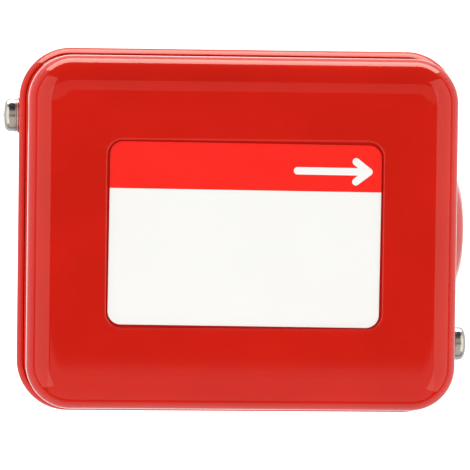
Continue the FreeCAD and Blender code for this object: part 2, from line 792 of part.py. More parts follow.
def spring_nut():
    """Nut plate on the range screw; its ears run in the side plates' slots."""
    bottom = spring_nut_z
    top = bottom + spring_nut_height
    width = side_inner - hole_play
    ear = bracket_width / 2 + guide_proud
    body = box(spring_x - spring_nut_length / 2, spring_x + spring_nut_length / 2, -width, width, bottom, top)
    ears = box(spring_x - guide_length / 2, spring_x + guide_length / 2, -ear, ear, bottom, top)
    boss = upright(boss_diameter(), spring_x, 0, bottom - boss_rise, bottom)
    hole = upright(range_screw_size + 2 * running, spring_x, 0, bottom - boss_rise - reach, top + reach)
    return body.fuse([ears, boss]).removeSplitter().cut(hole)


def range_spring():
    """Compression spring between the lever's web and the spring nut."""
    bottom = lever_rest + steel
    radius = (spring_outer - spring_wire) / 2
    height = spring_nut_z - bottom - spring_wire
    helix = Part.makeHelix(height / spring_turns, height, radius)
    section = Part.Wire([Part.makeCircle(spring_wire / 2, Vector(radius, 0, 0), Vector(0, 1, 0))])
    coil = helix.makePipeShell([section], True, True)
    coil.translate(Vector(spring_x, 0, bottom + spring_wire / 2))
    return coil


# ---- Microswitch ----
def switch_holes():
    """The two diagonal fixing holes as (x, z)."""
    inset_x = (switch_length - switch_hole_x) / 2
    inset_z = (switch_height - switch_hole_z) / 2
    low = (switch_start + inset_x, switch_z + inset_z)
    high = (switch_start + inset_x + switch_hole_x, switch_z + inset_z + switch_hole_z)
    return [low, high]


def tab_places():
    """X of the three blade terminals on the switch's side."""
    pitch = (switch_length - tab_width) / 2 - tab_inset
    middle = switch_start + switch_length / 2
    return [middle - pitch, middle, middle + pitch]


def switch_body():
    """Moulded case with fixing holes, a parting groove and a well for the plunger."""
    half = switch_thickness / 2
    body = box(switch_start, switch_start + switch_length, -half, half, switch_z, switch_top)
    upright_edges = [e for e in body.Edges if e.BoundBox.YLength > switch_thickness / 2]
    body = body.makeFillet(switch_corner, upright_edges)
    groove = switch_groove
    cuts = [box(switch_start - reach, switch_start + groove, -groove, groove, switch_z, switch_top),
            box(switch_start + switch_length - groove, switch_start + switch_length + reach, -groove, groove,
                switch_z, switch_top),
            upright(plunger_diameter + 2 * running, plunger_x, 0, switch_top - plunger_well,
                    switch_top + reach)]
    for x, z in switch_holes():
        cuts.append(rod(switch_screw_size + 2 * seat, Vector(x, -half - reach, z), Vector(x, half + reach, z)))
    lug = hinge_lug()
    return body.cut(cuts).fuse(lug)


def hinge_lug():
    """Two small ears on the switch that hold the leaf's hinge."""
    inner = leaf_width / 2 + hole_play
    ear = box(leaf_hinge_x - lug_length / 2, leaf_hinge_x + lug_length / 2, inner, inner + lug_thickness,
              switch_top, leaf_z + lug_rise)
    return on_both_sides(ear)


def switch_plunger():
    """The button under the leaf."""
    radius = plunger_diameter / 2
    bottom = switch_top - plunger_depth
    outline = [(0, bottom), (radius, bottom), (radius, leaf_z - plunger_chamfer),
               (radius - plunger_chamfer, leaf_z), (0, leaf_z)]
    return turned_solid(outline, plunger_x, 0)


def switch_leaf():
    """Hinged actuator: a flat strip under its hinge pin."""
    half = leaf_width / 2
    strip = box(leaf_start, leaf_hinge_x + leaf_heel, -half, half, leaf_z, leaf_z + leaf_thickness)
    axis_z = leaf_z + hinge_pin / 2
    pin = rod(hinge_pin, Vector(leaf_hinge_x, -half, axis_z), Vector(leaf_hinge_x, half, axis_z))
    return strip.fuse(pin).removeSplitter()


def switch_insulator():
    """Sheet between the switch and the bracket's tab."""
    y = switch_thickness / 2
    outline = box(switch_start, switch_start + switch_length, y, y + insulator_thickness, base_top, switch_top)
    holes = [rod(switch_screw_size + 2 * hole_play, Vector(x, y - reach, z), Vector(x, y + reach, z))
             for x, z in switch_holes()]
    return outline.cut(holes)


def switch_screws():
    """Two screws through the switch into the bracket's tab."""
    start = -switch_thickness / 2
    length = switch_thickness + insulator_thickness + steel
    bodies = [screw(switch_screw_size, length, switch_screw_head, switch_screw_head_height,
                    Vector(x, start, z), Vector(0, 1, 0)) for x, z in switch_holes()]
    return Part.makeCompound(bodies)


def switch_tabs():
    """Three blade terminals on the switch's side."""
    start = -switch_thickness / 2
    z = switch_z + tab_rise
    tabs = [box(x - tab_width / 2, x + tab_width / 2, start - tab_length, start,
                z - tab_thickness / 2, z + tab_thickness / 2) for x in tab_places()]
    return Part.makeCompound(tabs)


def tab_sleeves():
    """Insulated receptacles pushed over the blade terminals."""
    sleeves = []
    start = -switch_thickness / 2 - sleeve_gap
    z = switch_z + tab_rise
    for x in tab_places():
        half_x = tab_width / 2 + sleeve_wall
        half_z = tab_thickness / 2 + sleeve_wall
        body = box(x - half_x, x + half_x, start - sleeve_length - sleeve_wall, start, z - half_z, z + half_z)
        long_edges = [e for e in body.Edges if e.BoundBox.YLength > sleeve_length / 2]
        body = body.makeFillet(sleeve_corner, long_edges)
        pocket = box(x - tab_width / 2 - seat, x + tab_width / 2 + seat, start - sleeve_length, start + reach,
                     z - tab_thickness / 2 - seat, z + tab_thickness / 2 + seat)
        sleeves.append(body.cut(pocket))
    return Part.makeCompound(sleeves)


# ---- Wiring ----
def terminal_places():
    """X of the three terminal screws."""
    middle = block_start + block_length / 2
    return [middle - terminal_pitch, middle, middle + terminal_pitch]


def lead_wires():
    """One wire from each receptacle to its terminal."""
    wires = []
    start_y = -switch_thickness / 2 - sleeve_gap - sleeve_length - sleeve_wall
    z = switch_z + tab_rise
    high = floor_top + block_height / 2
    run = block_inner_y - start_y
    for from_x, to_x in zip(tab_places(), terminal_places()):
        points = [Vector(from_x, start_y, z), Vector(from_x, start_y + run * wire_bend, z),
                  Vector(to_x, block_inner_y - run * wire_bend, high), Vector(to_x, block_inner_y, high)]
        wires.append(wire_run(points, wire_diameter))
    return Part.makeCompound(wires)


def block_screw_places():
    """Fixing screws at the ends of the terminal block."""
    y = block_inner_y - block_width / 2
    return [(block_start + block_ear / 2, y), (block_start + block_length - block_ear / 2, y)]


def terminal_block():
    """Moulded block with barriers between the terminals and lowered ends for its fixing screws."""
    outer_y = block_inner_y - block_width
    top = floor_top + block_height
    block_end = block_start + block_length
    body = box(block_start, block_end, outer_y, block_inner_y, floor_top, top)
    places = terminal_places()
    for i in range(len(places) + 1):
        x = places[0] + (i - 0.5) * terminal_pitch
        barrier = box(x - barrier_thickness / 2, x + barrier_thickness / 2, outer_y, block_inner_y,
                      top, top + barrier_height)
        body = body.fuse(barrier)
    for x0, x1 in ((block_start - reach, block_start + block_ear), (block_end - block_ear, block_end + reach)):
        body = body.cut(box(x0, x1, outer_y - reach, block_inner_y + reach, floor_top + block_ear_height,
                            top + barrier_height + reach))
    for x in places:
        body = body.cut(upright(terminal_screw_size + 2 * seat, x, block_inner_y - block_width / 2,
                                top - terminal_depth, top + reach))
    for x, y in block_screw_places():
        body = body.cut(upright(block_screw_size + 2 * hole_play, x, y, floor_top - reach, top))
    return body


def terminal_plates():
    """Square clamp plates under the terminal screws."""
    size = terminal_pitch - barrier_thickness - 2 * plate_gap
    y = block_inner_y - block_width / 2
    z = floor_top + block_height
    plates = []
    for x in terminal_places():
        shape = box(x - size / 2, x + size / 2, y - size / 2, y + size / 2, z, z + terminal_plate)
        hole = upright(terminal_screw_size + 2 * hole_play, x, y, z - reach, z + terminal_plate + reach)
        plates.append(shape.cut(hole))
    return Part.makeCompound(plates)


def terminal_screw(place):
    """One terminal's pan-head screw."""
    y = block_inner_y - block_width / 2
    z = floor_top + block_height + terminal_plate
    return screw(terminal_screw_size, terminal_plate + terminal_depth, terminal_screw_head,
                 terminal_head_height, Vector(terminal_places()[place], y, z), Vector(0, 0, -1))


def block_screws():
    """Two screws that hold the terminal block on the floor."""
    z = floor_top + block_ear_height
    bodies = [screw(block_screw_size, z - floor_z, block_screw_head, block_screw_head_height,
                    Vector(x, y, z), Vector(0, 0, -1)) for x, y in block_screw_places()]
    return Part.makeCompound(bodies)


def earth_washer():
    """Cupped washer of the earthing point."""
    return ring(earth_washer_diameter, earth_screw_size + 2 * hole_play, Vector(earth_x, earth_y, floor_top),
                Vector(earth_x, earth_y, floor_top + earth_washer_thickness))


def earth_screw():
    """Screw of the earthing point, in the floor."""
    return screw(earth_screw_size, earth_washer_thickness + sheet, terminal_screw_head, terminal_head_height,
                 Vector(earth_x, earth_y, floor_top + earth_washer_thickness), Vector(0, 0, -1))


parts = {
    "base_tray": base_tray(),
    "cover": cover(),
    "label_plate": label_plate(),
    "cover_screws": cover_screws(),
    "cover_washers": cover_washers(),
    "cover_nuts": cover_nuts(),
    "brass_body": brass_body(),
    "body_gasket": body_gasket(),
    "locknut": locknut(),
    "bellows": bellows(),
    "bellows_cap": bellows_cap(),
    "paddle_rod": paddle_rod(),
    "rod_nut": rod_nut(),
    "paddle_short": blade(short_blade, 0),
    "paddle_middle": blade(middle_blade, 1),
    "paddle_long": blade(long_blade, 2),
    "paddle_washer": paddle_washer(),
    "paddle_screw": paddle_screw(),
    "mechanism_bracket": mechanism_bracket(),
    "bracket_rivets": bracket_rivets(),
    "pivot_pins": pivot_pins(),
    "lever_frame": lever_frame(),
    "stop_screw": stop_screw(),
    "stop_nut": stop_nut(),
    "range_screw": range_screw(),
    "screw_clip": screw_clip(),
    "spring_nut": spring_nut(),
    "range_spring": range_spring(),
    "switch_body": switch_body(),
    "switch_plunger": switch_plunger(),
    "switch_leaf": switch_leaf(),
    "switch_insulator": switch_insulator(),
    "switch_screws": switch_screws(),
    "switch_tabs": switch_tabs(),
    "tab_sleeves": tab_sleeves(),
    "lead_wires": lead_wires(),
    "terminal_block": terminal_block(),
    "terminal_plates": terminal_plates(),
    "terminal_screw_red": terminal_screw(0),
    "terminal_screw_yellow": terminal_screw(1),
    "terminal_screw_blue": terminal_screw(2),
    "block_screws": block_screws(),
    "earth_washer": earth_washer(),
    "earth_screw": earth_screw(),
}

os.makedirs("parts", exist_ok=True)
for name, shape in parts.items():
    shape.exportStep("parts/" + name + ".step")
    print(name, len(shape.Solids), "valid" if shape.isValid() else "INVALID", round(shape.Volume, 1))
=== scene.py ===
import json
import math
import bpy
from mathutils import Matrix, Vector


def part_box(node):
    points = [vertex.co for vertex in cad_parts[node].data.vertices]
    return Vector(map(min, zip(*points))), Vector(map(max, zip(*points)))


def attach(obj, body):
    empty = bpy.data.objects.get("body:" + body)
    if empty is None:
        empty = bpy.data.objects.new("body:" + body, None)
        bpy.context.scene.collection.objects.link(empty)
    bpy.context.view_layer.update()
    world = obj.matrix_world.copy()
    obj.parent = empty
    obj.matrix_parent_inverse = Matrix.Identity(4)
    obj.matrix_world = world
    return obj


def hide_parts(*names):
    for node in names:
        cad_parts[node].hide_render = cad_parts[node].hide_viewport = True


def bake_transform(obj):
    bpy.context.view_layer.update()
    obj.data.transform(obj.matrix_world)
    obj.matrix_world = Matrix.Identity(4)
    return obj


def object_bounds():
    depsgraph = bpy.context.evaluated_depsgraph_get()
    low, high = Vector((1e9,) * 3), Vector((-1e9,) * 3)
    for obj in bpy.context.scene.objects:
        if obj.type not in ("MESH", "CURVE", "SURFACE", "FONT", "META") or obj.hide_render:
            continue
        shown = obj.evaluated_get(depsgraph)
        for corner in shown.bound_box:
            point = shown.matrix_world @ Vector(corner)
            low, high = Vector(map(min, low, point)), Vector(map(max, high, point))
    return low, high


# Paddle flow switch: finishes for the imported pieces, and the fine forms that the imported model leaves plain.
# The frame is in metres, so lengths are millimetres times mm. Only the profiles and threads that turned and
# thread_ridge take are in plain millimetres.

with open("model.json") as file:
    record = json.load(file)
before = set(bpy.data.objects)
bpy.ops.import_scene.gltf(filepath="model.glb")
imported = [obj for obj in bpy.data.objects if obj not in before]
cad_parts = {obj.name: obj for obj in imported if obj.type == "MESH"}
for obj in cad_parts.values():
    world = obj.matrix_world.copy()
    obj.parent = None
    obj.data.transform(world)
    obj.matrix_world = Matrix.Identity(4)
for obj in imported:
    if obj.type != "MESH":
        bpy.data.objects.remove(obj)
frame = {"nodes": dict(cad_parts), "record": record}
cad_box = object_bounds()
nodes = frame["nodes"]
mm = 0.001
same_place = 1e-6           # points nearer than this count as one
X = Vector((1, 0, 0))
Y = Vector((0, 1, 0))
Z = Vector((0, 0, 1))


# ---- Places taken from the frame ----
def middle_of(node):
    """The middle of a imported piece's box."""
    low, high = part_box(node)
    return (low + high) / 2


def top_of(node):
    """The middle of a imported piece's upper face."""
    middle = middle_of(node)
    return Vector((middle.x, middle.y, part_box(node)[1].z))


cover_middle_x = middle_of("cover").x
tray_low, tray_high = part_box("base_tray")
label_low, label_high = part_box("label_plate")
spigot_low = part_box("brass_body")[0].z
spring_low, spring_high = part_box("range_spring")
bellows_low, bellows_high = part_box("bellows")


# ---- Modelling helpers ----
def pick(obj):
    """Only this object selected and active."""
    bpy.ops.object.select_all(action="DESELECT")
    obj.select_set(True)
    bpy.context.view_layer.objects.active = obj


def settle(obj):
    """Puts the object's place, turn and size into its mesh."""
    pick(obj)
    bpy.ops.object.transform_apply(location=True, rotation=True, scale=True)
    return obj


def named(name):
    """The active object under its new name."""
    obj = bpy.context.active_object
    obj.name = name
    obj.data.name = name
    return obj


def slab(name, low, high):
    """A block between two corners."""
    low = Vector(low)
    high = Vector(high)
    bpy.ops.mesh.primitive_cube_add(size=1, location=(low + high) / 2)
    obj = named(name)
    obj.scale = high - low
    return settle(obj)


def round_edges(obj, radius, segments, chosen, profile=0.5):
    """Bevels the edges for which chosen(first, second) is true, given their two end points."""
    pick(obj)
    bpy.ops.object.mode_set(mode="EDIT")
    bpy.ops.mesh.select_mode(type="EDGE")
    bpy.ops.mesh.select_all(action="DESELECT")
    bpy.ops.object.mode_set(mode="OBJECT")
    points = obj.data.vertices
    for edge in obj.data.edges:
        first, second = (points[i].co for i in edge.vertices)
        edge.select = chosen(first, second)
    bpy.ops.object.mode_set(mode="EDIT")
    bpy.ops.mesh.bevel(offset=radius, segments=segments, profile=profile, affect="EDGES")
    bpy.ops.object.mode_set(mode="OBJECT")


def is_upright(first, second):
    """True for an edge that runs along Z."""
    return (first - second).xy.length < same_place


def combine(obj, other, operation):
    """Cuts other from obj, or adds it, and removes other."""
    pick(obj)
    step = obj.modifiers.new("step", "BOOLEAN")
    step.operation = operation
    step.solver = "EXACT"
    step.object = other
    bpy.ops.object.modifier_apply(modifier=step.name)
    bpy.data.objects.remove(other)
    return obj


def join(obj, others):
    """Makes the others part of obj."""
    pick(obj)
    for other in others:
        other.select_set(True)
    bpy.ops.object.join()
    return obj


def clean(obj, near=same_place):
    """Merges points nearer than that and turns the faces outwards."""
    pick(obj)
    bpy.ops.object.mode_set(mode="EDIT")
    bpy.ops.mesh.select_all(action="SELECT")
    bpy.ops.mesh.remove_doubles(threshold=near)
    bpy.ops.mesh.normals_make_consistent(inside=False)
    bpy.ops.object.mode_set(mode="OBJECT")
    return obj


def smooth(obj, angle=35):
    """Smooth shading over edges up to the angle in degrees."""
    pick(obj)
    bpy.ops.object.shade_smooth_by_angle(angle=math.radians(angle))
    return obj


def copy_of(node, name):
    """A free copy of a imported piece, with its loose triangles merged."""
    source = nodes[node]
    obj = source.copy()
    obj.data = source.data.copy()
    obj.parent = None
    for key in list(obj.keys()):
        del obj[key]
    bpy.context.scene.collection.objects.link(obj)
    pick(obj)
    obj.name = name
    obj.data.name = name
    bpy.ops.mesh.customdata_custom_splitnormals_clear()
    return clean(obj, near=same_place / 10)


def choose_points(obj, chosen):
    """Goes into edit mode with the points selected for which chosen(place) is true."""
    pick(obj)
    bpy.ops.object.mode_set(mode="EDIT")
    bpy.ops.mesh.select_mode(type="VERT")
    bpy.ops.mesh.select_all(action="DESELECT")
    bpy.ops.object.mode_set(mode="OBJECT")
    for point in obj.data.vertices:
        point.select = chosen(point.co)
    bpy.ops.object.mode_set(mode="EDIT")


def laid(obj, matrix):
    """Lays a piece in place, and keeps the place in its mesh."""
    obj.matrix_world = matrix
    return settle(obj)


def aimed(place, right, up, back):
    """The matrix of a camera or lamp at that place, given its three directions."""
    return Matrix.Translation(place) @ Matrix((right, up, back)).transposed().to_4x4()


def turned(name, profile, steps):
    """A form turned about Z: a ring that is extruded and resized through (radius, height) points in mm."""
    pole = 0.0001               # radius of the ring that stands for a point on the axis
    radius, height = profile[0]
    radius = max(radius, pole)
    bpy.ops.mesh.primitive_circle_add(vertices=steps, radius=radius * mm, location=(0, 0, height * mm))
    obj = settle(named(name))
    bpy.ops.object.mode_set(mode="EDIT")
    bpy.ops.mesh.select_all(action="SELECT")
    for next_radius, next_height in profile[1:]:
        next_radius = max(next_radius, pole)
        rise = (0, 0, (next_height - height) * mm)
        bpy.ops.mesh.extrude_region_move(TRANSFORM_OT_translate={"value": rise})
        change = next_radius / radius
        bpy.ops.transform.resize(value=(change, change, 1), center_override=(0, 0, next_height * mm))
        radius, height = next_radius, next_height
    bpy.ops.object.mode_set(mode="OBJECT")
    return clean(obj)


def thread_ridge(name, root, crest, pitch, low, high, steps):
    """A screw thread's ridge about Z, from root to crest radius, all in millimetres."""
    flank = 0.42 * pitch        # half its width at the root
    land = 0.06 * pitch         # half its width at the crest
    bite = 0.25                 # how far the ridge reaches into the core
    depth = crest - root + bite
    place = ((crest - depth / 2) * mm, 0, low * mm)
    bpy.ops.mesh.primitive_plane_add(size=1, location=place, rotation=(math.pi / 2, 0, 0))
    obj = named(name)
    obj.scale = (depth * mm, 2 * flank * mm, 1)
    settle(obj)
    choose_points(obj, lambda point: point.x > place[0])
    bpy.ops.transform.resize(value=(1, 1, land / flank), center_override=(crest * mm, 0, low * mm))
    bpy.ops.mesh.select_all(action="SELECT")
    bpy.ops.mesh.delete(type="ONLY_FACE")
    bpy.ops.object.mode_set(mode="OBJECT")
    helix = obj.modifiers.new("helix", "SCREW")
    helix.steps = steps
    helix.render_steps = steps
    helix.screw_offset = pitch * mm
    helix.iterations = int((high - low) / pitch)
    bpy.ops.object.modifier_apply(modifier=helix.name)
    bpy.ops.object.mode_set(mode="EDIT")
    bpy.ops.mesh.select_mode(type="EDGE")
    bpy.ops.mesh.select_all(action="DESELECT")
    bpy.ops.mesh.select_non_manifold()
    bpy.ops.mesh.edge_face_add()
    bpy.ops.object.mode_set(mode="OBJECT")
    return clean(obj)


# ---- Values in a material ----
def feed(tree, value, socket):
    """Sets the socket to a number, or links it to another socket."""
    if isinstance(value, float):
        socket.default_value = value
    else:
        tree.links.new(value, socket)


def span(tree, value, start, end, low, high):
    """The value from start..end mapped to low..high."""
    node = tree.nodes.new("ShaderNodeMapRange")
    node.inputs["From Min"].default_value = start
    node.inputs["From Max"].default_value = end
    feed(tree, low, node.inputs["To Min"])
    feed(tree, high, node.inputs["To Max"])
    tree.links.new(value, node.inputs["Value"])
    return node.outputs["Result"]


def by_ray(tree, seen, glossy, diffuse):
    """One value for the camera's rays, one for reflections and one for the rest."""
    rays = tree.nodes.new("ShaderNodeLightPath")
    mirrored = span(tree, rays.outputs["Is Glossy Ray"], 0.0, 1.0, diffuse, glossy)
    return span(tree, rays.outputs["Is Camera Ray"], 0.0, 1.0, mirrored, seen)


# ---- Finishes ----
class Finish:
    """A node material that is built up from object coordinates."""

    usual_noise = (0.35, 0.65)  # the range that most of a noise lies in

    def __init__(self, name, colour, roughness, metallic=0.0, mapping=(1, 1, 1)):
        self.material = bpy.data.materials.new(name)
        self.material.use_nodes = True
        self.tree = self.material.node_tree
        self.shader = self.tree.nodes["Principled BSDF"]
        self.set(base_color=(*colour, 1), roughness=roughness, metallic=metallic)
        self.colour = colour
        coordinates = self.tree.nodes.new("ShaderNodeTexCoord")
        self.place = self.tree.nodes.new("ShaderNodeMapping")
        self.place.inputs["Scale"].default_value = mapping
        self.link(coordinates.outputs["Object"], self.place.inputs["Vector"])

    def set(self, **values):
        """Sets the shader's sockets: base_color stands for Base Color, and so on."""
        for key, value in values.items():
            self.shader.inputs[key.replace("_", " ").title().replace("Ior", "IOR")].default_value = value

    def link(self, out, into):
        """Links an output to an input."""
        self.tree.links.new(out, into)

    def noise(self, scale, detail=3.0, rough=0.5):
        """Noise of that many features per metre."""
        node = self.tree.nodes.new("ShaderNodeTexNoise")
        node.inputs["Scale"].default_value = scale
        node.inputs["Detail"].default_value = detail
        node.inputs["Roughness"].default_value = rough
        self.link(self.place.outputs["Vector"], node.inputs["Vector"])
        return node.outputs["Fac"]

    def spread(self, value, low, high):
        """A noise stretched over low..high."""
        return span(self.tree, value, *self.usual_noise, low, high)

    def tint(self, value, dark, light):
        """Lets the colour vary between dark and light times itself."""
        mix = self.tree.nodes.new("ShaderNodeMix")
        mix.data_type = "RGBA"
        mix.inputs["A"].default_value = (*[c * dark for c in self.colour], 1)
        mix.inputs["B"].default_value = (*[min(c * light, 1.0) for c in self.colour], 1)
        self.link(self.spread(value, 0.0, 1.0), mix.inputs["Factor"])
        self.link(mix.outputs["Result"], self.shader.inputs["Base Color"])

    def wear(self, value, less, more):
        """Lets the roughness vary between less and more."""
        self.link(self.spread(value, less, more), self.shader.inputs["Roughness"])

    def bump(self, value, height, strength):
        """Relief of that height in metres."""
        node = self.tree.nodes.new("ShaderNodeBump")
        node.inputs["Distance"].default_value = height
        node.inputs["Strength"].default_value = strength
        self.link(value, node.inputs["Height"])
        self.link(node.outputs["Normal"], self.shader.inputs["Normal"])


def stoved_paint():
    """Glossy red stoved paint with a faint orange peel."""
    paint = Finish("red_paint", (0.62, 0.0135, 0.0065), roughness=0.5)
    paint.set(coat_weight=1.0, coat_roughness=0.04, coat_ior=1.5, specular_ior_level=0.0)
    paint.tint(paint.noise(60, detail=2), dark=0.96, light=1.03)
    paint.bump(paint.noise(420, detail=1), height=0.00001, strength=0.25)
    return paint.material


def printed_film(name, colour):
    """Satin printed film of the label."""
    film = Finish(name, colour, roughness=0.32)
    film.set(specular_ior_level=0.3)
    film.tint(film.noise(45), dark=0.985, light=1.0)
    film.wear(film.noise(160), less=0.28, more=0.38)
    film.bump(film.noise(2200, detail=2), height=0.000003, strength=0.3)
    return film.material


def plated(name, colour, roughness):
    """Plated steel with a slightly uneven sheen."""
    metal = Finish(name, colour, roughness[0], metallic=1.0)
    metal.tint(metal.noise(120), dark=0.93, light=1.04)
    metal.wear(metal.noise(360), *roughness)
    metal.bump(metal.noise(3000, detail=2), height=0.000002, strength=0.3)
    return metal.material


def brushed(name, colour, roughness, grain):
    """Rolled or machined metal; its grain is given as features per metre along X, Y and Z."""
    metal = Finish(name, colour, roughness[0], metallic=1.0, mapping=grain)
    lines = metal.noise(1, detail=4, rough=0.6)
    metal.tint(lines, dark=0.88, light=1.05)
    metal.wear(lines, *roughness)
    metal.bump(lines, height=0.000005, strength=0.5)
    return metal.material


def moulded(name, colour, roughness, gloss=0.5):
    """Moulded plastic or rubber with a fine texture."""
    plastic = Finish(name, colour, roughness[0])
    plastic.set(specular_ior_level=gloss)
    plastic.tint(plastic.noise(200, detail=2), dark=0.94, light=1.05)
    plastic.wear(plastic.noise(900), *roughness)
    plastic.bump(plastic.noise(3500, detail=2), height=0.000004, strength=0.4)
    return plastic.material


def enamelled(name, colour):
    """Enamel on a screw head, darker in patches."""
    enamel = Finish(name, colour, roughness=0.22)
    enamel.set(coat_weight=0.6, coat_roughness=0.08)
    enamel.tint(enamel.noise(400), dark=0.85, light=1.05)
    enamel.bump(enamel.noise(1800, detail=2), height=0.000006, strength=0.5)
    return enamel.material


upright_grain = (3000, 3000, 60)
round_grain = (90, 90, 4000)
lengthwise_grain = (60, 3000, 3000)
finishes = {
    "red_paint": stoved_paint(),
    "label_print": printed_film("label_print", (0.93, 0.93, 0.915)),
    "zinc": plated("zinc", (0.70, 0.71, 0.72), roughness=(0.28, 0.38)),
    "nickel": plated("nickel", (0.74, 0.75, 0.76), roughness=(0.18, 0.28)),
    "stainless": brushed("stainless", (0.54, 0.54, 0.53), (0.2, 0.36), upright_grain),
    "brass": brushed("brass", (0.74, 0.53, 0.21), (0.16, 0.32), round_grain),
    "bronze": plated("bronze", (0.70, 0.42, 0.21), roughness=(0.2, 0.32)),
    "spring_steel": plated("spring_steel", (0.50, 0.50, 0.52), roughness=(0.2, 0.3)),
    "gasket_rubber": moulded("gasket_rubber", (0.035, 0.035, 0.035), (0.6, 0.8), gloss=0.3),
    "black_moulding": moulded("black_moulding", (0.028, 0.028, 0.031), (0.35, 0.5), gloss=0.4),
    "brown_moulding": moulded("brown_moulding", (0.10, 0.045, 0.028), (0.22, 0.34)),
    "red_plastic": moulded("red_plastic", (0.60, 0.04, 0.03), (0.25, 0.35)),
    "insulating_sheet": moulded("insulating_sheet", (0.58, 0.50, 0.36), (0.55, 0.7), gloss=0.3),
    "sleeve_plastic": moulded("sleeve_plastic", (0.52, 0.06, 0.05), (0.25, 0.35)),
    "wire_insulation": moulded("wire_insulation", (0.03, 0.03, 0.032), (0.28, 0.38)),
    "red_enamel": enamelled("red_enamel", (0.62, 0.035, 0.03)),
    "yellow_enamel": enamelled("yellow_enamel", (0.85, 0.60, 0.04)),
    "blue_enamel": enamelled("blue_enamel", (0.03, 0.13, 0.52)),
    "green_enamel": enamelled("green_enamel", (0.03, 0.30, 0.10)),
}
header_red = printed_film("header_red", (0.96, 0.02, 0.013))
leaf_steel = brushed("leaf_steel", (0.62, 0.62, 0.61), (0.22, 0.34), lengthwise_grain)


def give_material(obj, material):
    """Gives the piece one material."""
    obj.data.materials.clear()
    obj.data.materials.append(material)


def finished(obj, slot, node=None):
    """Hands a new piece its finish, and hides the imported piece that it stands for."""
    give_material(obj, finishes[slot])
    if node:
        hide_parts(node)


slot_of = {row["node"]: row["material_slot"] for row in frame["record"]["subparts"]}
body_of = {node: body for body, members in frame["record"]["behaviour"]["bodies"].items() for node in members}
for node, obj in nodes.items():
    give_material(obj, finishes[slot_of[node]])
give_material(nodes["switch_leaf"], leaf_steel)


# ---- Label ----
label_length = 62.5 * mm
label_width = 42.0 * mm
label_corner = 3.0 * mm
corner_steps = 10
label_turn = math.radians(-0.4)
header_height = 10.75 * mm
ink = 0.03 * mm             # each printed layer's thickness
arrow_stroke = 1.7 * mm
arrow_start = 11.8 * mm     # from the label's middle
arrow_tip = 28.3 * mm
arrow_drop = 0.7 * mm       # below the middle of the header band
arrow_barb = Vector((-3.0, 2.3, 0)) * mm
label_middle = middle_of("label_plate")


def stroke(name, start, end, low, high):
    """A round-ended stroke from start to end."""
    run = end - start
    half = arrow_stroke / 2
    nearly_half = 0.999 * half  # so that the two round corners of an end don't meet
    steps = 8
    obj = slab(name, (-half, -half, low), (run.length + half, half, high))
    round_edges(obj, nearly_half, steps, is_upright)
    turn = Matrix.Rotation(math.atan2(run.y, run.x), 4, "Z")
    return laid(obj, Matrix.Translation((start.x, start.y, 0)) @ turn)


def on_label(obj):
    """Lays a piece that is drawn about the label's middle on the label."""
    turn = Matrix.Rotation(label_turn, 4, "Z")
    laid(obj, Matrix.Translation((label_middle.x, label_middle.y, 0)) @ turn)
    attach(smooth(obj), "lid")
    return obj


def label():
    """White film with a red header band and a white arrow along the flow."""
    half_x = label_length / 2
    half_y = label_width / 2
    low = label_low.z
    top = label_high.z
    film = slab("label_film", (-half_x, -half_y, low), (half_x, half_y, top))
    round_edges(film, label_corner, corner_steps, is_upright)
    finished(on_label(film), "label_print", "label_plate")
    band_low = half_y - header_height
    band_middle = (band_low + half_y) / 2

    def is_top_corner(first, second):
        """True for the band's two upright edges that lie on the film's corners."""
        return is_upright(first, second) and first.y > band_middle

    band = slab("label_header", (-half_x, band_low, top), (half_x, half_y, top + ink))
    round_edges(band, label_corner, corner_steps, is_top_corner)
    give_material(on_label(band), header_red)
    level = band_middle - arrow_drop
    start = Vector((arrow_start, level, 0))
    tip = Vector((arrow_tip, level, 0))
    arrow = stroke("flow_arrow", start, tip, top + ink, top + 2 * ink)
    for side in (1, -1):
        barb = Vector((arrow_barb.x, side * arrow_barb.y, 0))
        combine(arrow, stroke("barb", tip + barb, tip, top + ink, top + 2 * ink), "UNION")
    finished(on_label(arrow), "label_print")


# ---- Screws with driver recesses ----
def facing(axis):
    """The turn that points Z along the axis."""
    return Z.rotation_difference(axis).to_matrix().to_4x4()


def cross_cutter(centre, axis, across, width, depth):
    """A cross-shaped cutter sunk into a head whose outer face is at centre; axis points out of it."""
    corner = Vector((across / 2, width / 2, depth))
    crossing = Vector((width / 2, across / 2, depth))
    cutter = combine(slab("cutter", -corner, corner), slab("cutter", -crossing, crossing), "UNION")
    return laid(cutter, Matrix.Translation(centre) @ facing(axis))


def slot_cutter(centre, axis, width, depth, turn_by):
    """A straight screwdriver slot, turned about the axis."""
    reach = 5 * mm              # past the edge of every slotted head
    cutter = slab("cutter", (-reach, -width / 2, -depth), (reach, width / 2, depth))
    return laid(cutter, Matrix.Translation(centre) @ facing(axis) @ Matrix.Rotation(turn_by, 4, "Z"))


def driven(node, cutters):
    """A copy of a packed screw with driver recesses cut in its heads."""
    obj = copy_of(node, node + "_driven")
    for cutter in cutters:
        combine(obj, cutter, "DIFFERENCE")
    smooth(obj, angle=30)
    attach(obj, body_of[node])
    finished(obj, slot_of[node], node)


